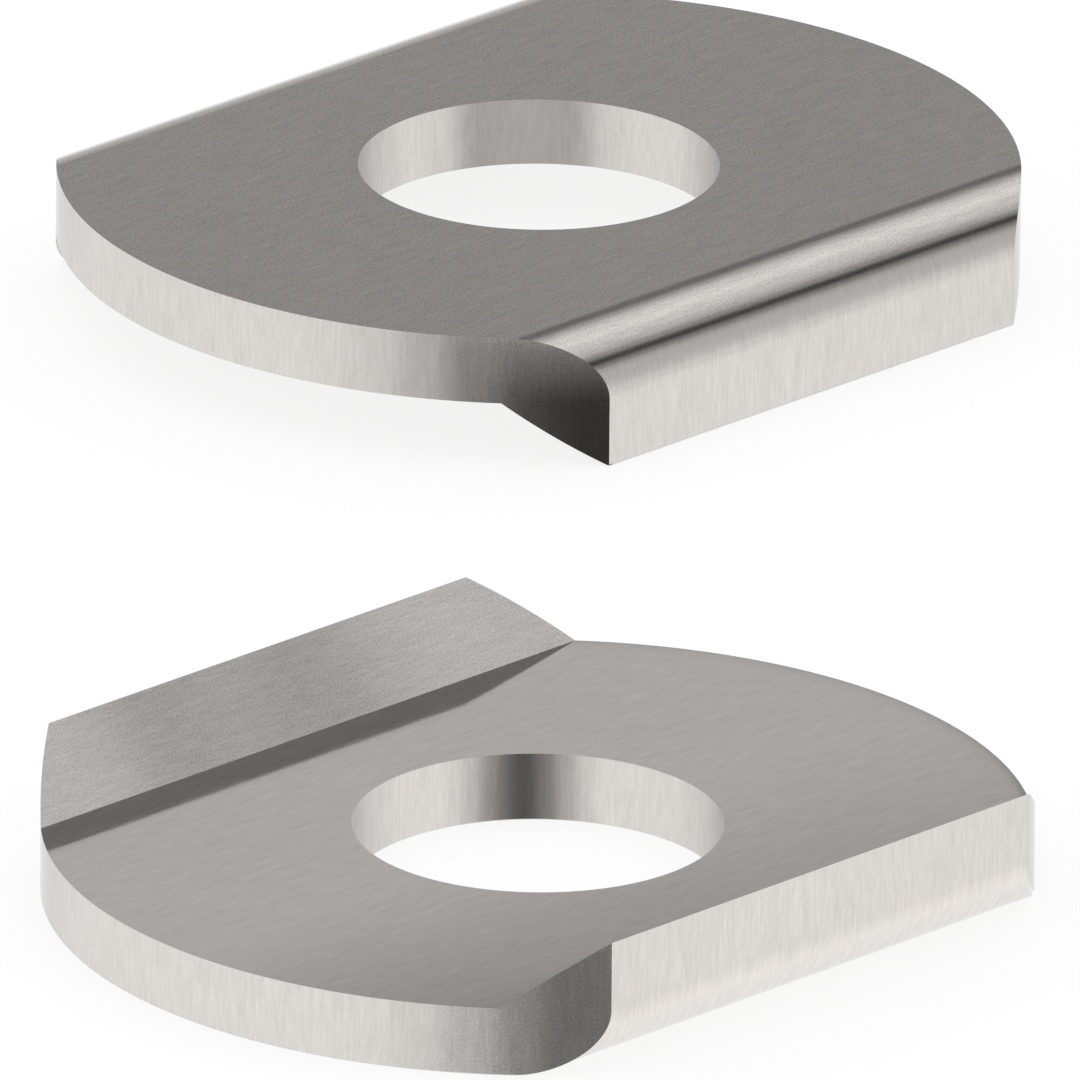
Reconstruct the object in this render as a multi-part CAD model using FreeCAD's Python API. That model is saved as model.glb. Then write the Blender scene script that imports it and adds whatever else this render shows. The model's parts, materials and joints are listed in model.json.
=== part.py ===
"""Pair of flanged washers that clamp an open two-bar arm under a bolt.

Each washer is one formed piece: a round disc with a hole, cut by two parallel flats. A wedge-shaped lip
stands off the inner face along each flat, and a large radius rounds the outer face into the flat. On the
arm the two washers face each other, lips inward. Here both lie loose on a surface: the upper washer on the
tips of its lips, and the lower washer on its outer face with its lips up.

Frame, in millimetres: +Z up, z = 0 is the surface, the flats face +X and -X, and the origin lies midway
between the axes of the two holes.
"""

import FreeCAD
import Part
import math
import os

# One washer
disc_diameter = 28.0
hole_diameter = 10.5       # clears a 10 mm bolt
sheet_thickness = 2.0
width_across_flats = 22.7
lip_drop = 1.95            # from the inner face to the tip of a lip
lip_foot_width = 2.1       # from the flat to where the slanted side of the lip meets the inner face
outer_edge_radius = 1.9    # rounds the outer face into each flat

# How the two lie
disc_gap = 18.5            # clear space between the two discs
pair_bearing = 45.7        # direction from the lower washer to the upper one, in degrees from +Y towards -X

UP = FreeCAD.Vector(0, 0, 1)
ALONG_FLATS = FreeCAD.Vector(0, 1, 0)

disc_radius = disc_diameter / 2
hole_radius = hole_diameter / 2
half_width = width_across_flats / 2
overall_height = sheet_thickness + lip_drop


def line(start, end):
    return Part.LineSegment(start, end).toShape()


def rounded_edge(side):
    """Quarter circle from the outer face to the flat on that side, +1 or -1, with its two ends."""
    centre_x = half_width - outer_edge_radius
    centre_z = overall_height - outer_edge_radius
    halfway = outer_edge_radius * math.sqrt(0.5)
    on_face = FreeCAD.Vector(side * centre_x, 0, overall_height)
    middle = FreeCAD.Vector(side * (centre_x + halfway), 0, centre_z + halfway)
    on_flat = FreeCAD.Vector(side * half_width, 0, centre_z)
    return Part.Arc(on_face, middle, on_flat).toShape(), on_face, on_flat


def cross_section():
    """Section across the flats, with the tips of the lips at z = 0 and the outer face on top."""
    right_edge, right_on_face, right_on_flat = rounded_edge(1)
    left_edge, left_on_face, left_on_flat = rounded_edge(-1)
    foot_x = half_width - lip_foot_width
    right_tip = FreeCAD.Vector(half_width, 0, 0)
    left_tip = FreeCAD.Vector(-half_width, 0, 0)
    right_foot = FreeCAD.Vector(foot_x, 0, lip_drop)
    left_foot = FreeCAD.Vector(-foot_x, 0, lip_drop)
    outline = [
        line(left_on_face, right_on_face),
        right_edge,
        line(right_on_flat, right_tip),
        line(right_tip, right_foot),
        line(right_foot, left_foot),
        line(left_foot, left_tip),
        line(left_tip, left_on_flat),
        left_edge,
    ]
    return Part.Face(Part.Wire(Part.__sortEdges__(outline)))


def flanged_washer():
    """One washer with its lips down, its hole on the Z axis and the tips of its lips at z = 0."""
    section = cross_section()
    section.translate(ALONG_FLATS * -disc_radius)
    bar = section.extrude(ALONG_FLATS * disc_diameter)
    disc = Part.makeCylinder(disc_radius, overall_height)
    hole = Part.makeCylinder(hole_radius, overall_height)
    return bar.common(disc).cut(hole).removeSplitter()


def lying(washer, centre, lips_up):
    """The washer moved to centre on the surface, turned over about the line of its flats if lips_up."""
    placed = washer.copy()
    if lips_up:
        placed.rotate(FreeCAD.Vector(0, 0, 0), ALONG_FLATS, 180)
        placed.translate(UP * overall_height)
    placed.translate(centre)
    return placed


def upper_centre():
    """Where the axis of the upper washer's hole meets the surface; the lower one's is opposite."""
    half_spacing = (disc_diameter + disc_gap) / 2
    bearing = math.radians(pair_bearing)
    return FreeCAD.Vector(-math.sin(bearing), math.cos(bearing), 0) * half_spacing


def report(name, solid):
    box = solid.BoundBox
    print(name, "valid", solid.isValid(), "volume", round(solid.Volume, 3))
    print("  x", round(box.XMin, 3), round(box.XMax, 3), "y", round(box.YMin, 3), round(box.YMax, 3))
    print("  z", round(box.ZMin, 3), round(box.ZMax, 3))


def main():
    os.makedirs("parts", exist_ok=True)
    washer = flanged_washer()
    nodes = {
        "upper_washer": lying(washer, upper_centre(), lips_up=False),
        "lower_washer": lying(washer, upper_centre() * -1, lips_up=True),
    }
    for name, shape in nodes.items():
        solid = shape.Solids[0]
        solid.exportStep(f"parts/{name}.step")
        report(name, solid)


main()
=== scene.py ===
"""Looks of the pair of flanged washers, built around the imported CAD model.

The frame is in metres: +Z up, the surface at z = 0, the flats facing +X and -X. The upper washer lies
lips down behind the lower one, which lies lips up.
"""

import bpy
import json
import math
from mathutils import Matrix, Vector


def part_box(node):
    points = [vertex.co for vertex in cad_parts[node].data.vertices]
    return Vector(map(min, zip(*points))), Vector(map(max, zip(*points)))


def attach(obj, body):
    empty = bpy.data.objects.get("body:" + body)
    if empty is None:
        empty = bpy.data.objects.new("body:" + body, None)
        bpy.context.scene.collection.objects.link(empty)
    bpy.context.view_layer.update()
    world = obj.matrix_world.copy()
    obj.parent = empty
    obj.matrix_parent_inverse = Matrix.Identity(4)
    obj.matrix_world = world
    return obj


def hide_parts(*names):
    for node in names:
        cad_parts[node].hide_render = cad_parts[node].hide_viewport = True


MM = 0.001

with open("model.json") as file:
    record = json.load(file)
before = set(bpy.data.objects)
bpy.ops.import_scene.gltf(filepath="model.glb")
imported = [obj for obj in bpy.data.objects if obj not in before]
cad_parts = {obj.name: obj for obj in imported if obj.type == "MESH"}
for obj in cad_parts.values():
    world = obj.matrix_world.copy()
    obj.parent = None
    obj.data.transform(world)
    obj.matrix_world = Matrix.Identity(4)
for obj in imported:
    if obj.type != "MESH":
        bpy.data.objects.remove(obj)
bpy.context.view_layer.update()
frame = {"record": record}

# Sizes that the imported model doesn't give, in metres, as in part.py
LIP_FOOT_WIDTH = 2.1 * MM
OUTER_EDGE_RADIUS = 1.9 * MM

# How finely the washers are divided
RIM_STEPS = 96
BEND_STEPS = 32
FLAT_STEPS = 72
# Corners that agree when rounded to this many parts of a metre are one
CORNER_ROUNDING = 1e8
# Room for rounding, in metres, where a column is compared with the foot of a lip
COLUMN_SLACK = 1e-9

# The share of a rounded edge that is brushed along Y, counted from the outer face: lips down, and lips up
BEND_UPPER_SHARE = 0.625
BEND_UPPER_SHARE_LIPS_UP = 0.25

# Where the marks of the flats, the holes and the rims are on the brushing map, in mm, and how far the two
# sides of a rim are moved apart from there, each way
FLAT_MARKS_AT = 40
HOLE_MARKS_AT = 80
RIM_MARKS_AT = 160
RIM_MARKS_APART = 40

# How grainy a surface is, from 0 to 1
NO_GRAIN = 0.0
OUTER_FACE_GRAIN = 1.0
BEND_GRAIN = 0.65
LIP_GRAIN = 0.62
LIP_END_GRAIN = 0.6
# The share of the way from the middle of a rim to the foot of a lip at which its grain starts
RIM_GRAIN_FROM = 0.8

# Camera, fitted to the photograph's outlines, with its angles in degrees
CAMERA_ELEVATION = 21.499
CAMERA_AZIMUTH = 45.534
CAMERA_ROLL = 0.496
CAMERA_DISTANCE = 1400 * MM
CAMERA_LENS_MM = 1656.77
CAMERA_SENSOR_MM = 36.0
CAMERA_NEAREST = 100 * MM
CAMERA_FARTHEST = 20000 * MM
# How far it is aimed to the right of the foot of the lower washer's axis and above it, in the picture
CAMERA_ACROSS = 0.0798 * MM
CAMERA_ALONG = 9.821 * MM

# Metal
STEEL = (0.687, 0.655, 0.63)
EDGE_TINT = (0.85, 0.85, 0.85, 1)
ROUGHNESS = 0.065
RELIEF = 0.0003 * MM
# Features per mm, across and along the brush marks or the same both ways
FINE_MARKS = (10.0, 1.1)
BROAD_MARKS = (3.6, 0.35)
GRAIN = 15.0
CLOUD = 0.22
# Strength of the broad marks beside the fine ones
BROAD_STRENGTH = 0.4
# Strength of marks and of grain on a plain surface, and what a fully grainy one adds
MARKS_PLAIN = 1.0
MARKS_MORE = 0.15
GRAIN_PLAIN = 0.22
GRAIN_MORE = 0.93
# Weights of the patterns in the tone, the roughness and the relief
TONE_MARKS = 0.36
TONE_GRAIN = 1.2
TONE_CLOUD = 0.05
ROUGHNESS_MARKS = 0.06
ROUGHNESS_GRAIN = 0.06
ROUGHNESS_GRAINY = 0.04
RELIEF_GRAIN = 0.5

# Floor, with a margin that makes sure of white
FLOOR_GREY = 0.2
FLOOR_WHITE_MARGIN = 0.01
FLOOR_HALF_SIZE = 6000 * MM
FLOOR_DROP = 0.01 * MM

# Light sheets, seen only in the metal's gloss. Past the arch and its end walls they are painted reflections,
# each placed where one surface looks from the camera, and their levels paint the light and shade on that
# surface. A level of 1 is white, and stops are (position, level)

# The ray depth is 1 in a first reflection and 2 in a second one
DEPTH_BETWEEN = 1.5

# Height above the surface of sheets that lie on it
SHEET_LIFT = 0.02 * MM
FLOOR_SHEET_LIFT = 1.5 * SHEET_LIFT

# Divisions across and along
ARCH_STEPS = (180, 1)
END_STEPS = (1, 40)
PLATE_STEPS = (40, 20)
LIP_STEPS = (1, 40)
STRIP_STEPS = (1, 1)
WALL_STEPS = (90, 12)
FLOOR_STEPS = (60, 8)

# Arch: degrees round it from +X
ARCH_RADIUS = 2000 * MM
ARCH_LENGTH = 8000 * MM
ARCH_STOPS = (
    (0, 0.66), (13, 0.6), (20, 0.58), (25, 0.5), (33, 0.28), (37, 0.165), (40, 0.067), (44, 0.1),
    (50, 0.325), (61, 0.59), (67, 0.71), (72, 0.77), (92, 0.95), (106, 0.83), (113, 0.69), (121, 0.46),
    (127, 0.322), (131, 0.215), (139, 0.2), (151, 0.356), (157, 0.51), (171, 0.665), (180, 0.755),
)

# End walls: share of the height
END_STOPS = ((0.0, 0.7), (0.3, 0.5), (0.6, 0.45), (1.0, 0.85))

# Card for the lower washer's inner face: a painted reflection that gives that face its grey tone. Its level
# falls from the axis of the hole towards +X, over a reach in mm, by PLATE_FALL less PLATE_FALL_ALONG for
# each mm along Y, which paints shade on that face towards +X
PLATE_CARD_DISTANCE = 28 * MM
PLATE_CARD_MARGIN = 3 * MM
PLATE_LEVEL = 0.593
PLATE_FALL = 0.118
PLATE_FALL_ALONG = 0.0045
PLATE_FALL_REACH = 9.0

# Card for the slanted side of the lower washer's back lip, a painted reflection that gives it its light and
# shade: mm along Y from the axis of the hole
LIP_CARD_DISTANCE = 40 * MM
LIP_CARD_MARGIN = 1.5 * MM
LIP_STOPS = (
    (-8.6, 0.67), (-5.2, 0.475), (-2, 0.518), (0.2, 0.464), (2, 0.495), (4, 0.608), (6, 0.68), (8.5, 0.655),
)

# Card for the strip at the foot of that lip, where the inner face mirrors the slanted side: a dark card,
# seen only in reflections of reflections, that paints that strip dark as a painted reflection
STRIP_CARD_DISTANCE = 24 * MM
STRIP_SHADE_LEVEL = 0.26

# Sheets on the floor, painted reflections for the flats and rounded edges, where a level above 1 is a
# painted highlight and one below 1 painted shade: nearest and farthest distance, and (log10 of the distance
# in mm, level)
UPPER_FRONT_REACH = (0.02 * MM, 1985 * MM)
UPPER_FRONT_STOPS = ((0.5, 1.0), (0.9, 0.85), (1.5, 0.72), (2.2, 0.67))
UPPER_BACK_REACH = (1.0 * MM, 1985 * MM)
UPPER_BACK_STOPS = ((0.85, 0.88), (1.2, 1.04), (1.6, 1.04), (1.9, 0.95))
LOWER_FRONT_REACH = (0.4 * MM, 60 * MM)
LOWER_FRONT_STOPS = ((0.3, 1.17), (0.42, 1.17), (0.56, 1.1), (0.72, 1.03))
# How far they shift along Y for each step away from the washer
FLOOR_SHEET_SLOPE = 0.84

# Sheets for the rims and for the walls of the holes, over the part that the camera sees: painted
# reflections, whose dark bands are painted shade. Angles in degrees from +X, and heights in mm
RIM_ANGLES = (-150, -35.2)
RIM_HEIGHTS = (-0.2, 4.2)
HOLE_ANGLES = (46.2, 224.8)
UPPER_HOLE_HEIGHTS = (1.7, 4.3)
LOWER_HOLE_HEIGHTS = (-0.2, 2.3)
# How far across the hole such a sheet stands at most, as a share of the way
HOLE_SHEET_SHARE = 0.12
# Their stops are (degrees from +X, level)
UPPER_RIM_STOPS = (
    (-134, 0.93), (-124, 0.99), (-112, 1.04), (-98, 1.0), (-76, 1.0), (-70, 0.95), (-64, 0.85),
    (-58, 0.615), (-52, 0.285), (-45.6, 0.09), (-42, 0.06), (-38.5, 0.045),
)
# Above this height in mm the sheet for the upper rim is lighter, a painted highlight on the rim, by so much
# for each mm times a share that goes with the angle
UPPER_RIM_LIFT_FROM = 2.15
UPPER_RIM_LIFT = 0.118
LIFT_STOPS = ((-55, 0.0), (-44, 1.0))
LOWER_RIM_STOPS = (
    (-134, 0.93), (-124, 0.99), (-112, 1.06), (-98, 1.03), (-70, 1.03), (-64, 1.0), (-58, 0.87),
    (-52, 0.62), (-46, 0.335), (-42, 0.21),
)
UPPER_HOLE_STOPS = (
    (54, 0.54), (62, 0.67), (70, 0.76), (78, 0.87), (86, 0.98), (99, 1.0), (112, 0.9), (126, 0.525),
    (140, 0.555), (155, 0.525), (169, 0.9), (181, 0.99), (192, 0.88), (200, 0.805), (208, 0.69), (217, 0.57),
)
LOWER_HOLE_STOPS = (
    (54, 0.62), (62, 0.735), (70, 0.85), (78, 0.93), (88, 1.0), (115, 1.0), (121, 0.82), (127, 0.55),
    (133, 0.272), (139, 0.127), (142, 0.13), (146, 0.235), (151, 0.42), (157, 0.74), (163, 0.94),
    (168, 1.02), (184, 1.01), (193, 0.93), (200, 0.88), (208, 0.775), (217, 0.66),
)


class Washer:
    """Measures of one washer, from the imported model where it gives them."""

    def __init__(self, node, mount):
        low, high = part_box(node)
        bore = next(m for m in frame["record"]["mounts"] if m["name"] == mount)
        self.half_width = (high.x - low.x) / 2
        self.disc_radius = (high.y - low.y) / 2
        self.height = high.z - low.z
        self.hole_radius = bore["dims"]["r_mm"] * MM
        self.sheet = bore["dims"]["length_mm"] * MM
        self.lip_drop = self.height - self.sheet
        self.lips_up = bore["pos_m"][2] < self.height / 2
        self.centre = Vector(((low.x + high.x) / 2, (low.y + high.y) / 2, low.z))
        self.foot_x = self.half_width - LIP_FOOT_WIDTH
        self.bend_x = self.half_width - OUTER_EDGE_RADIUS
        self.bend_z = self.height - OUTER_EDGE_RADIUS

    def rim_y(self, x):
        """Half the length of the washer along Y at this x."""
        return math.sqrt(max(self.disc_radius ** 2 - x ** 2, 0.0))

    def inner_z(self, x):
        """Height of the inner face, or of the slanted side of a lip, at this x."""
        beyond = max(abs(x) - self.foot_x, 0.0)
        return self.lip_drop * (1 - beyond / LIP_FOOT_WIDTH)

    def outer_z(self, x):
        """Height of the outer face, or of the rounded edge, at this x."""
        beyond = max(abs(x) - self.bend_x, 0.0)
        rise = math.sqrt(max(OUTER_EDGE_RADIUS ** 2 - beyond ** 2, 0.0))
        return self.bend_z + rise

    def placed(self, point):
        """A point of the washer with its lips down and its centre at the origin, moved to where it lies."""
        if self.lips_up:
            point = Vector((-point.x, point.y, self.height - point.z))
        return point + self.centre

    def turned(self, direction):
        """A direction of the washer with its lips down, turned as it lies."""
        if self.lips_up:
            return Vector((-direction.x, direction.y, -direction.z))
        return direction


class Skin:
    """Faces of a mesh, each with its grain, and each corner with its direction and brushing, in mm."""

    def __init__(self):
        self.points = []
        self.numbers = {}
        self.faces = []
        self.directions = []
        self.brushing = []
        self.face_grain = []

    def number(self, point):
        """Number of the point, the same for faces that meet in it."""
        key = tuple(round(value * CORNER_ROUNDING) for value in point)
        if key not in self.numbers:
            self.numbers[key] = len(self.points)
            self.points.append(point)
        return self.numbers[key]

    def add(self, corners, direction, brushing, grain):
        """Adds a face that looks along direction, unless its corners fall together into a line."""
        numbers = [self.number(corner) for corner in corners]
        kept = [i for i, number in enumerate(numbers) if number not in numbers[:i]]
        if len(kept) < 3:
            return
        corners = [corners[i] for i in kept]
        around = Vector((0, 0, 0))
        for here, there in zip(corners, corners[1:] + corners[:1]):
            around += here.cross(there)
        middle = sum(corners, Vector((0, 0, 0))) / len(corners)
        if around.dot(direction(middle)) < 0:
            corners.reverse()
            kept.reverse()
        self.faces.append([numbers[i] for i in kept])
        self.directions.extend(direction(corner).normalized() for corner in corners)
        self.brushing.extend(brushing(corner) for corner in corners)
        self.face_grain.append(grain)


def constant(x, y, z):
    direction = Vector((x, y, z))
    return lambda point: direction


def rim_columns(washer):
    """Values of x at which the rim, the bends and the lips are divided, from one flat to the other."""
    middle_angle = math.asin(washer.foot_x / washer.disc_radius)
    turns = [middle_angle * (2 * k / RIM_STEPS - 1) for k in range(RIM_STEPS + 1)]
    middle = [washer.disc_radius * math.sin(turn) for turn in turns]
    side = bend_columns(washer)
    return [-x for x in reversed(side)] + middle + side


def bend_columns(washer):
    """Values of x across one rounded edge, from the outer face to the flat."""
    angles = [math.pi / 2 * k / BEND_STEPS for k in range(BEND_STEPS + 1)]
    return [washer.bend_x + OUTER_EDGE_RADIUS * math.sin(angle) for angle in angles]


def along_steps():
    return [2 * k / FLAT_STEPS - 1 for k in range(FLAT_STEPS + 1)]


def face_outline(washer, side_x):
    """Points round a plane face that ends at x = side_x on both sides, anticlockwise from above."""
    end_y = washer.rim_y(side_x)
    columns = [x for x in rim_columns(washer) if abs(x) <= washer.foot_x + COLUMN_SLACK]
    right = [(side_x, end_y * step) for step in along_steps()]
    back = [(x, washer.rim_y(x)) for x in reversed(columns)]
    left = [(-side_x, -end_y * step) for step in along_steps()]
    front = [(x, -washer.rim_y(x)) for x in columns]
    return right + back + left + front


def add_faces_and_hole(skin, washer):
    """The outer face, the inner face and the wall of the hole."""
    outer = face_outline(washer, washer.bend_x)
    inner = face_outline(washer, washer.foot_x)
    angles = [math.atan2(y, x) for x, y in outer]
    radius = washer.hole_radius
    hole = [(radius * math.cos(angle), radius * math.sin(angle)) for angle in angles]
    up = constant(0, 0, 1)
    down = constant(0, 0, -1)
    for k in range(len(outer)):
        n = (k + 1) % len(outer)
        top = washer.height
        bottom = washer.lip_drop
        ring = [hole[k], hole[n]]
        skin.add(at_height(ring + [outer[n], outer[k]], top), up, across_x, OUTER_FACE_GRAIN)
        skin.add(at_height(ring + [inner[n], inner[k]], bottom), down, across_x, NO_GRAIN)
        wall = at_height(ring, top) + at_height(ring[::-1], bottom)
        skin.add(wall, towards_axis, round_hole(radius, angles[k]), NO_GRAIN)


def at_height(pairs, z):
    return [Vector((x, y, z)) for x, y in pairs]


def towards_axis(point):
    return Vector((-point.x, -point.y, 0))


def from_axis(point):
    return Vector((point.x, point.y, 0))


def across_x(point):
    """Brushed along Y."""
    return (point.x / MM, point.y / MM)


def across_y(point):
    """Brushed up and down, across a face that looks along X."""
    return (point.y / MM + FLAT_MARKS_AT, point.z / MM)


def round_hole(radius, near_angle):
    """Brushed along the axis of the hole; near_angle keeps a face on one side of the cut at 180 degrees."""
    def brushing(point):
        angle = math.atan2(point.y, point.x)
        if angle - near_angle > math.pi:
            angle -= 2 * math.pi
        if near_angle - angle > math.pi:
            angle += 2 * math.pi
        return (radius * angle / MM + HOLE_MARKS_AT, point.z / MM)
    return brushing


def round_rim(point):
    """Brushed along the axis, on the rim of the disc."""
    side = 1 if point.y > 0 else -1
    angle = math.atan2(point.x, side * point.y)
    radius = math.hypot(point.x, point.y)
    return (radius * angle / MM + RIM_MARKS_AT + RIM_MARKS_APART * side, point.z / MM)


def rim_grain(washer, x):
    """Grain of the rim, which starts short of a lip and is full from the foot of the lip on."""
    share = (x / washer.foot_x - RIM_GRAIN_FROM) / (1 - RIM_GRAIN_FROM)
    return LIP_END_GRAIN * min(max(share, 0.0), 1.0)


def add_rim(skin, washer):
    """The curved wall of the disc, with the ends of the lips."""
    columns = rim_columns(washer)
    for side in (-1, 1):
        for here, there in zip(columns, columns[1:]):
            corners = [
                Vector((here, side * washer.rim_y(here), washer.inner_z(here))),
                Vector((there, side * washer.rim_y(there), washer.inner_z(there))),
                Vector((there, side * washer.rim_y(there), washer.outer_z(there))),
                Vector((here, side * washer.rim_y(here), washer.outer_z(here))),
            ]
            grain = rim_grain(washer, max(abs(here), abs(there)))
            skin.add(corners, from_axis, round_rim, grain)


def add_strip(skin, washer, side, columns, direction, brushing, grain):
    """Faces between each two columns (x, z), over the whole length of the washer along Y."""
    for here, there in zip(columns, columns[1:]):
        here_x, here_z = here
        there_x, there_z = there
        here_y = washer.rim_y(here_x)
        there_y = washer.rim_y(there_x)
        for first, second in zip(along_steps(), along_steps()[1:]):
            corners = [
                Vector((side * here_x, here_y * first, here_z)),
                Vector((side * here_x, here_y * second, here_z)),
                Vector((side * there_x, there_y * second, there_z)),
                Vector((side * there_x, there_y * first, there_z)),
            ]
            skin.add(corners, direction, brushing, grain)


def add_bend(skin, washer, side):
    """The rounded edge: brushed along Y next to the outer face, and up and down next to the flat."""
    def direction(point):
        x = point.x - side * washer.bend_x
        return Vector((x, 0, point.z - washer.bend_z))

    def turn(point):
        return math.atan2(abs(point.x) - washer.bend_x, point.z - washer.bend_z)

    def upper(point):
        across = washer.bend_x + OUTER_EDGE_RADIUS * turn(point)
        return (side * across / MM, point.y / MM)

    def lower(point):
        down = OUTER_EDGE_RADIUS * (math.pi / 2 - turn(point))
        return (point.y / MM + FLAT_MARKS_AT, (washer.bend_z + down) / MM)

    columns = [(x, washer.outer_z(x)) for x in bend_columns(washer)]
    share = BEND_UPPER_SHARE_LIPS_UP if washer.lips_up else BEND_UPPER_SHARE
    change = round(BEND_STEPS * share)
    add_strip(skin, washer, side, columns[: change + 1], direction, upper, BEND_GRAIN)
    add_strip(skin, washer, side, columns[change:], direction, lower, NO_GRAIN)


def add_lip(skin, washer, side):
    """The flat down to the tip, and the slanted side of the lip back up to the inner face."""
    flat = [(washer.half_width, washer.bend_z), (washer.half_width, 0.0)]
    add_strip(skin, washer, side, flat, constant(side, 0, 0), across_y, NO_GRAIN)
    slope_x = sorted(bend_columns(washer) + [washer.foot_x], reverse=True)
    slope = [(x, washer.inner_z(x)) for x in slope_x]
    direction = constant(-side * washer.lip_drop, 0, -LIP_FOOT_WIDTH)
    stretch = math.hypot(washer.lip_drop, LIP_FOOT_WIDTH) / LIP_FOOT_WIDTH

    def brushing(point):
        return (point.x * stretch / MM, point.y / MM)

    add_strip(skin, washer, side, slope, direction, brushing, LIP_GRAIN)


def washer_object(name, washer):
    """The washer as a closed mesh, with the true surface directions as its corner normals."""
    skin = Skin()
    add_faces_and_hole(skin, washer)
    add_rim(skin, washer)
    for side in (-1, 1):
        add_bend(skin, washer, side)
        add_lip(skin, washer, side)
    mesh = bpy.data.meshes.new(name)
    mesh.from_pydata([washer.placed(point) for point in skin.points], [], skin.faces)
    mesh.shade_smooth()
    brush_map = mesh.uv_layers.new(name="brushing")
    for corner, place in zip(brush_map.data, skin.brushing):
        corner.uv = place
    grainy = mesh.attributes.new("grainy", "FLOAT", "FACE")
    grainy.data.foreach_set("value", skin.face_grain)
    mesh.normals_split_custom_set([washer.turned(direction) for direction in skin.directions])
    mesh.validate()
    mesh.update()
    piece = bpy.data.objects.new(name, mesh)
    bpy.context.scene.collection.objects.link(piece)
    return piece


# Materials


def new_material(name):
    material = bpy.data.materials.new(name)
    material.use_nodes = True
    material.node_tree.nodes.clear()
    return material, material.node_tree


def node(tree, kind, **settings):
    made = tree.nodes.new(kind)
    for key, value in settings.items():
        setattr(made, key, value)
    return made


def math_node(tree, operation, first, second):
    made = node(tree, "ShaderNodeMath", operation=operation)
    for socket, value in zip(made.inputs, (first, second)):
        if isinstance(value, (int, float)):
            socket.default_value = value
        else:
            tree.links.new(value, socket)
    return made.outputs[0]


def weighted_sum(tree, parts, base):
    """Adds up each socket times its weight, and then base."""
    total = None
    for socket, weight in parts:
        share = math_node(tree, "MULTIPLY", socket, weight)
        total = share if total is None else math_node(tree, "ADD", total, share)
    return math_node(tree, "ADD", total, base)


def noise(tree, vector, scale, detail, roughness=0.5):
    """A pattern centred on zero."""
    made = node(tree, "ShaderNodeTexNoise", noise_dimensions="3D")
    made.inputs["Scale"].default_value = scale
    made.inputs["Detail"].default_value = detail
    made.inputs["Roughness"].default_value = roughness
    tree.links.new(vector, made.inputs["Vector"])
    return math_node(tree, "SUBTRACT", made.outputs[0], 0.5)


def stretched(tree, vector, across, along):
    """The brushing map scaled so that a step of 1 is this many features across and along, per mm."""
    made = node(tree, "ShaderNodeMapping", vector_type="POINT")
    made.inputs["Scale"].default_value = (across, along, 1.0)
    tree.links.new(vector, made.inputs["Vector"])
    return made.outputs["Vector"]


def steel_material():
    """Stainless sheet: brush marks and a fine grain in tone, gloss and relief, and slow changes of tone."""
    material, tree = new_material("stainless_steel_brushed")
    links = tree.links
    place = node(tree, "ShaderNodeUVMap", uv_map="brushing").outputs["UV"]
    grainy = node(tree, "ShaderNodeAttribute", attribute_name="grainy").outputs["Fac"]

    fine = noise(tree, stretched(tree, place, *FINE_MARKS), 1.0, detail=3.0, roughness=0.6)
    broad = noise(tree, stretched(tree, place, *BROAD_MARKS), 1.0, detail=2.0)
    grain = noise(tree, place, GRAIN, detail=2.0, roughness=0.7)
    cloud = noise(tree, place, CLOUD, detail=2.0)

    marks = math_node(tree, "ADD", fine, math_node(tree, "MULTIPLY", broad, BROAD_STRENGTH))
    marks = math_node(tree, "MULTIPLY", marks, weighted_sum(tree, [(grainy, MARKS_MORE)], MARKS_PLAIN))
    grain = math_node(tree, "MULTIPLY", grain, weighted_sum(tree, [(grainy, GRAIN_MORE)], GRAIN_PLAIN))

    tone = weighted_sum(tree, [(marks, TONE_MARKS), (grain, TONE_GRAIN), (cloud, TONE_CLOUD)], 1.0)
    colour = node(tree, "ShaderNodeVectorMath", operation="SCALE")
    colour.inputs[0].default_value = STEEL
    links.new(tone, colour.inputs["Scale"])

    gloss_parts = [(marks, ROUGHNESS_MARKS), (grain, ROUGHNESS_GRAIN), (grainy, ROUGHNESS_GRAINY)]
    gloss = weighted_sum(tree, gloss_parts, ROUGHNESS)

    relief = math_node(tree, "ADD", marks, math_node(tree, "MULTIPLY", grain, RELIEF_GRAIN))
    bump = node(tree, "ShaderNodeBump")
    bump.inputs["Strength"].default_value = 1.0
    bump.inputs["Distance"].default_value = RELIEF
    links.new(relief, bump.inputs["Height"])

    shader = node(tree, "ShaderNodeBsdfPrincipled")
    shader.inputs["Metallic"].default_value = 1.0
    shader.inputs["Specular Tint"].default_value = EDGE_TINT
    links.new(colour.outputs[0], shader.inputs["Base Color"])
    links.new(gloss, shader.inputs["Roughness"])
    links.new(bump.outputs["Normal"], shader.inputs["Normal"])
    out = node(tree, "ShaderNodeOutputMaterial")
    links.new(shader.outputs[0], out.inputs["Surface"])
    return material


def seen_directly(tree):
    """1 for a camera, glossy or transmission ray, and 0 for a ray that carries light to a dull surface."""
    path = node(tree, "ShaderNodeLightPath").outputs
    seen = math_node(tree, "MAXIMUM", path["Is Camera Ray"], path["Is Glossy Ray"])
    return math_node(tree, "MAXIMUM", seen, path["Is Transmission Ray"])


def floor_material():
    """Pale and dull. Seen directly, light is added that brings the unshaded floor to white."""
    material, tree = new_material("pale_floor")
    dull = node(tree, "ShaderNodeBsdfDiffuse")
    dull.inputs["Color"].default_value = (FLOOR_GREY, FLOOR_GREY, FLOOR_GREY, 1)
    glow = node(tree, "ShaderNodeEmission")
    level = math_node(tree, "MULTIPLY", seen_directly(tree), 1 - FLOOR_GREY + FLOOR_WHITE_MARGIN)
    tree.links.new(level, glow.inputs["Strength"])
    both = node(tree, "ShaderNodeAddShader")
    tree.links.new(dull.outputs[0], both.inputs[0])
    tree.links.new(glow.outputs[0], both.inputs[1])
    out = node(tree, "ShaderNodeOutputMaterial")
    tree.links.new(both.outputs[0], out.inputs["Surface"])
    return material


# Studio


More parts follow.
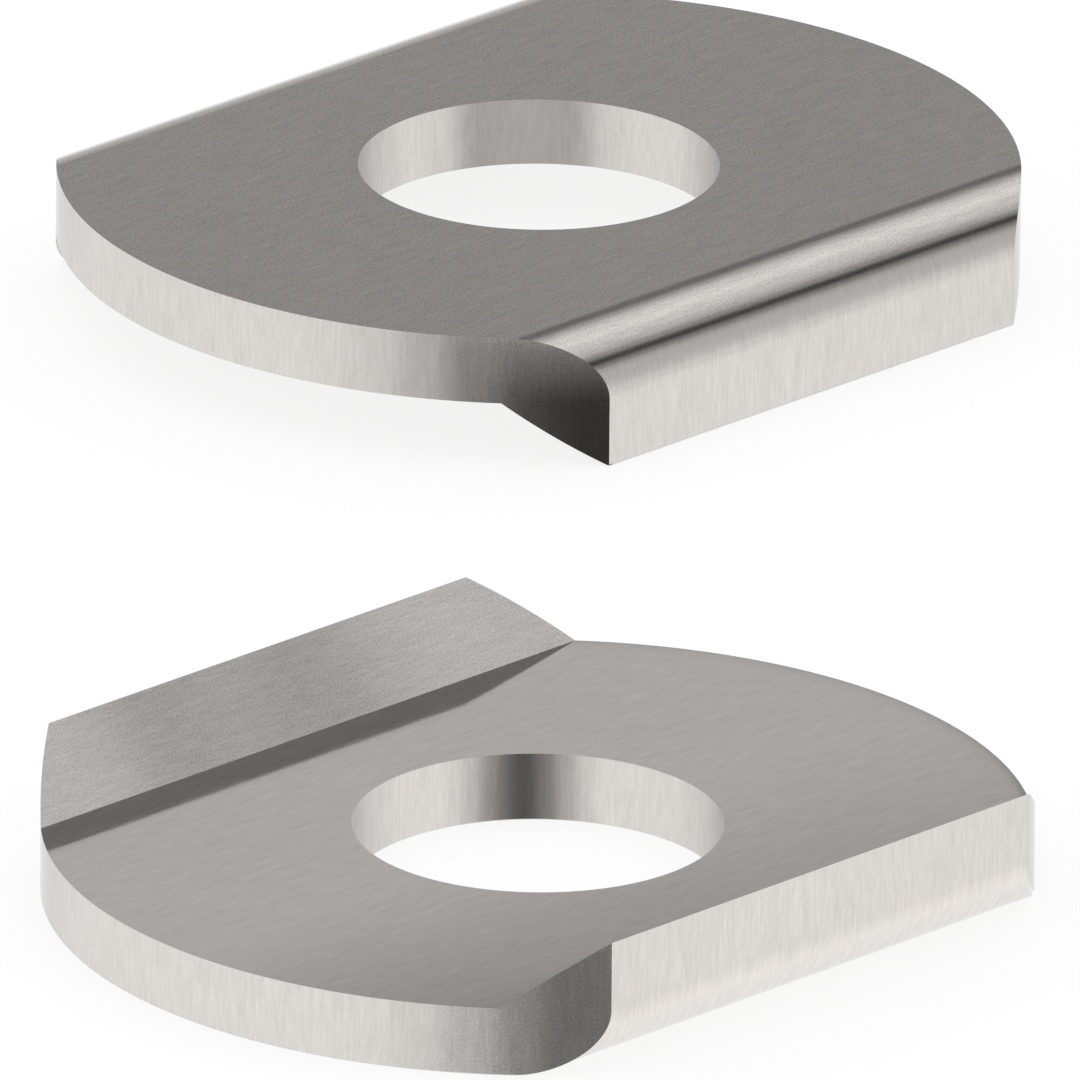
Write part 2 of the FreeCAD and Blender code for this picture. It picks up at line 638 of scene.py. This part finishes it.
def make_world():
    world = bpy.data.worlds.new("studio")
    world.use_nodes = True
    tree = world.node_tree
    tree.nodes.clear()
    sky = node(tree, "ShaderNodeBackground")
    sky.inputs["Color"].default_value = (1, 1, 1, 1)
    sky.inputs["Strength"].default_value = 1.0
    out = node(tree, "ShaderNodeOutputWorld")
    tree.links.new(sky.outputs[0], out.inputs["Surface"])
    bpy.context.scene.world = world


def make_floor():
    half = FLOOR_HALF_SIZE
    mesh = bpy.data.meshes.new("floor")
    corners = [(-half, -half, 0), (half, -half, 0), (half, half, 0), (-half, half, 0)]
    mesh.from_pydata(corners, [], [(0, 1, 2, 3)])
    mesh.materials.append(floor_material())
    floor = bpy.data.objects.new("floor", mesh)
    floor.location.z = -FLOOR_DROP
    bpy.context.scene.collection.objects.link(floor)


def new_sheet_material(name, bounce, one_sided):
    """Shines at the level stored in the sheet, where 1 is white.

    bounce 1 shows it only in the metal's first reflections, 2 only in reflections of reflections, and 0 in
    both. one_sided hides its back.
    """
    material, tree = new_material(name)
    level = node(tree, "ShaderNodeAttribute", attribute_name="level").outputs["Fac"]
    glow = node(tree, "ShaderNodeEmission")
    glow.inputs["Color"].default_value = (1, 1, 1, 1)
    tree.links.new(level, glow.inputs["Strength"])
    surface = glow.outputs[0]
    hidden = []
    if bounce:
        depth = node(tree, "ShaderNodeLightPath").outputs["Ray Depth"]
        others = "GREATER_THAN" if bounce == 1 else "LESS_THAN"
        hidden.append(math_node(tree, others, depth, DEPTH_BETWEEN))
    if one_sided:
        hidden.append(node(tree, "ShaderNodeNewGeometry").outputs["Backfacing"])
    for share in hidden:
        clear = node(tree, "ShaderNodeBsdfTransparent")
        either = node(tree, "ShaderNodeMixShader")
        tree.links.new(share, either.inputs[0])
        tree.links.new(surface, either.inputs[1])
        tree.links.new(clear.outputs[0], either.inputs[2])
        surface = either.outputs[0]
    out = node(tree, "ShaderNodeOutputMaterial")
    tree.links.new(surface, out.inputs["Surface"])
    material.cycles.emission_sampling = "NONE"
    return material


def light_sheet(name, place, level, steps, bounce=0, one_sided=False):
    """A curved panel that only the gloss of the metal sees.

    place and level take u and v from 0 to 1. bounce and one_sided are as in new_sheet_material.
    """
    across, along = steps
    grid = [(i / across, j / along) for j in range(along + 1) for i in range(across + 1)]
    row = across + 1
    faces = [
        (j * row + i, j * row + i + 1, (j + 1) * row + i + 1, (j + 1) * row + i)
        for j in range(along) for i in range(across)
    ]
    mesh = bpy.data.meshes.new(name)
    mesh.from_pydata([place(u, v) for u, v in grid], [], faces)
    levels = mesh.attributes.new("level", "FLOAT", "POINT")
    levels.data.foreach_set("value", [level(u, v) for u, v in grid])
    mesh.materials.append(new_sheet_material(name, bounce, one_sided))
    panel = bpy.data.objects.new(name, mesh)
    panel.visible_camera = False
    panel.visible_diffuse = False
    panel.visible_transmission = False
    panel.visible_volume_scatter = False
    panel.visible_shadow = False
    bpy.context.scene.collection.objects.link(panel)


def smooth(share):
    """Goes from 0 to 1 as share does, with a gentle start and end."""
    return share * share * (3 - 2 * share)


def spread(pair, share):
    """The value at this share of the way from the first of the pair to the second."""
    return pair[0] + (pair[1] - pair[0]) * share


def between(value, stops):
    """Reads a level off a short list of (position, level), smoothly between the stops."""
    if value <= stops[0][0]:
        return stops[0][1]
    for (start, low), (end, high) in zip(stops, stops[1:]):
        if value <= end:
            return low + (high - low) * smooth((value - start) / (end - start))
    return stops[-1][1]


def towards_camera():
    """Direction from the pair to the camera."""
    azimuth = math.radians(CAMERA_AZIMUTH)
    elevation = math.radians(CAMERA_ELEVATION)
    return Vector((
        math.sin(azimuth) * math.cos(elevation),
        -math.cos(azimuth) * math.cos(elevation),
        math.sin(elevation),
    ))


def mirrored(normal):
    """Where a surface with this normal looks, seen from the camera; the painted reflections are placed along
    it.
    """
    back = towards_camera()
    return normal * (2 * back.dot(normal)) - back


def make_arch(washer):
    """A tent over the pair, along Y: its levels round the arch give the metal its tones."""
    def place(u, v):
        turn = math.pi * u
        x = ARCH_RADIUS * math.cos(turn)
        return Vector((washer.centre.x + x, ARCH_LENGTH * (v - 0.5), ARCH_RADIUS * math.sin(turn)))

    light_sheet("light_arch", place, lambda u, v: between(180 * u, ARCH_STOPS), ARCH_STEPS)


def make_end_walls():
    """Upright walls that close the two ends of the arch."""
    for side in (-1, 1):
        def place(u, v):
            return Vector((ARCH_RADIUS * (2 * u - 1), side * ARCH_LENGTH / 2, ARCH_RADIUS * v))

        light_sheet(f"light_end_{side}", place, lambda u, v: between(v, END_STOPS), END_STEPS)


def make_card(name, washer, point, ray, distance, level, bounce, steps):
    """Stands square to ray, this far from the washer, over the points of a face that looks along ray."""
    def place(u, v):
        spot = point(u, v)
        return washer.centre + spot + ray * (distance - spot.dot(ray))

    light_sheet(name, place, level, steps, bounce=bounce, one_sided=bounce == 1)


def make_plate_card(washer):
    """A painted reflection, where the lower washer's inner face looks."""
    reach = washer.foot_x + PLATE_CARD_MARGIN
    outer = washer.disc_radius + PLATE_CARD_MARGIN

    def point(u, v):
        x = washer.foot_x - (washer.foot_x + reach) * u
        low = -math.sqrt(outer ** 2 - x ** 2)
        high = washer.rim_y(x)
        return Vector((x, low + (high - low) * v, washer.sheet))

    def level(u, v):
        spot = point(u, v) / MM
        fall = PLATE_FALL - PLATE_FALL_ALONG * spot.y
        return PLATE_LEVEL - fall * smooth(min(max(spot.x / PLATE_FALL_REACH, 0), 1))

    ray = mirrored(Vector((0, 0, 1)))
    make_card("painted_reflection_plate", washer, point, ray, PLATE_CARD_DISTANCE, level, 1, PLATE_STEPS)


def make_lip_cards(washer):
    """Painted reflections where the slanted side of the lower washer's back lip looks, by itself and seen in
    the inner face, the second a dark strip of painted shade.
    """
    slope = Vector((washer.lip_drop, 0, LIP_FOOT_WIDTH)).normalized()
    reach = washer.rim_y(washer.foot_x) + LIP_CARD_MARGIN
    near = washer.foot_x - LIP_CARD_MARGIN
    far = washer.half_width + LIP_CARD_MARGIN

    def point(u, v):
        x = near + (far - near) * u
        rise = washer.lip_drop * (x - washer.foot_x) / LIP_FOOT_WIDTH
        return Vector((-x, reach * (2 * v - 1), washer.sheet + rise))

    def lip_level(u, v):
        return between(point(u, v).y / MM, LIP_STOPS)

    def strip_shade_level(u, v):
        return STRIP_SHADE_LEVEL

    direct = mirrored(slope)
    make_card("painted_reflection_lip", washer, point, direct, LIP_CARD_DISTANCE, lip_level, 1, LIP_STEPS)
    from_plate = mirrored(Vector((0, 0, 1)))
    again = from_plate - slope * (2 * from_plate.dot(slope))
    make_card("painted_shade_strip", washer, point, again, STRIP_CARD_DISTANCE, strip_shade_level, 2, STRIP_STEPS)


def make_wall_sheet(name, washer, radius, inward, angles, heights, level):
    """A painted reflection where an upright round wall looks: on the floor, or in the hole. level takes an
    angle and a height.
    """
    def place(u, v):
        angle = math.radians(spread(angles, u))
        outward = Vector((math.cos(angle), math.sin(angle), 0))
        ray = mirrored(-outward if inward else outward)
        start = outward * radius + Vector((washer.centre.x, washer.centre.y, spread(heights, v) * MM))
        away = -start.z / ray.z
        if inward:
            level_ray = math.hypot(ray.x, ray.y)
            chord = -2 * radius * ray.dot(outward) / level_ray
            away = min(away, HOLE_SHEET_SHARE * chord / level_ray)
        spot = start + ray * away
        return Vector((spot.x, spot.y, max(spot.z, SHEET_LIFT)))

    def level_there(u, v):
        return level(spread(angles, u), spread(heights, v))

    light_sheet(name, place, level_there, WALL_STEPS, one_sided=inward)


def make_rim_sheet(name, washer, level):
    make_wall_sheet(name, washer, washer.disc_radius, False, RIM_ANGLES, RIM_HEIGHTS, level)


def make_hole_sheet(name, washer, heights, stops):
    def level(angle, height):
        return between(angle, stops)

    make_wall_sheet(name, washer, washer.hole_radius, True, HOLE_ANGLES, heights, level)


def make_floor_sheet(name, washer, side, from_x, reach, stops):
    """A painted reflection on the floor beyond from_x, where that side of the washer looks. reach is
    (nearest, farthest).
    """
    start, end = reach
    start_y = washer.centre.y - washer.rim_y(from_x)

    def place(u, v):
        away = start * (end / start) ** u
        x = washer.centre.x + side * (from_x + away)
        return Vector((x, start_y + away * FLOOR_SHEET_SLOPE + end * v * v, FLOOR_SHEET_LIFT))

    def level(u, v):
        away = start * (end / start) ** u
        return between(math.log10(away / MM), stops)

    light_sheet(name, place, level, FLOOR_STEPS)


def upper_rim_level(angle, height):
    lift = UPPER_RIM_LIFT * max(height - UPPER_RIM_LIFT_FROM, 0)
    return between(angle, UPPER_RIM_STOPS) + lift * between(angle, LIFT_STOPS)


def lower_rim_level(angle, height):
    return between(angle, LOWER_RIM_STOPS)


def make_cards(upper, lower):
    """All light sheets: the arch and its end walls, and painted reflections, each for the surface that
    mirrors it.
    """
    make_arch(upper)
    make_end_walls()
    make_plate_card(lower)
    make_lip_cards(lower)
    make_floor_sheet("painted_reflection_upper_front", upper, 1, upper.half_width, UPPER_FRONT_REACH, UPPER_FRONT_STOPS)
    make_floor_sheet("painted_reflection_upper_back", upper, -1, upper.half_width, UPPER_BACK_REACH, UPPER_BACK_STOPS)
    make_floor_sheet("painted_reflection_lower_front", lower, 1, lower.bend_x, LOWER_FRONT_REACH, LOWER_FRONT_STOPS)
    make_rim_sheet("painted_reflection_upper_rim", upper, upper_rim_level)
    make_rim_sheet("painted_reflection_lower_rim", lower, lower_rim_level)
    make_hole_sheet("painted_reflection_upper_hole", upper, UPPER_HOLE_HEIGHTS, UPPER_HOLE_STOPS)
    make_hole_sheet("painted_reflection_lower_hole", lower, LOWER_HOLE_HEIGHTS, LOWER_HOLE_STOPS)


def make_camera(target):
    """Looks at the photograph's angle. target is the foot of the lower washer's axis."""
    azimuth = math.radians(CAMERA_AZIMUTH)
    roll = math.radians(CAMERA_ROLL)
    back = towards_camera()
    level = Vector((math.cos(azimuth), math.sin(azimuth), 0))
    upright = back.cross(level)
    right = level * math.cos(roll) + upright * math.sin(roll)
    up = upright * math.cos(roll) - level * math.sin(roll)
    data = bpy.data.cameras.new("camera")
    data.lens = CAMERA_LENS_MM
    data.sensor_width = CAMERA_SENSOR_MM
    data.clip_start = CAMERA_NEAREST
    data.clip_end = CAMERA_FARTHEST
    camera = bpy.data.objects.new("camera", data)
    camera.rotation_mode = "QUATERNION"
    camera.rotation_quaternion = Matrix((right, up, back)).transposed().to_quaternion()
    camera.location = target + right * CAMERA_ACROSS + up * CAMERA_ALONG + back * CAMERA_DISTANCE
    bpy.context.scene.collection.objects.link(camera)
    bpy.context.scene.camera = camera


def main():
    steel = steel_material()
    upper = Washer("upper_washer", "upper_hole")
    lower = Washer("lower_washer", "lower_hole")
    for name, washer in (("upper_washer", upper), ("lower_washer", lower)):
        piece = washer_object(name + "_brushed", washer)
        piece.data.materials.append(steel)
        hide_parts(name)
        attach(piece, "root")
    make_world()
    make_floor()
    make_cards(upper, lower)
    make_camera(lower.centre)
    bpy.context.scene.view_settings.view_transform = "Standard"


main()
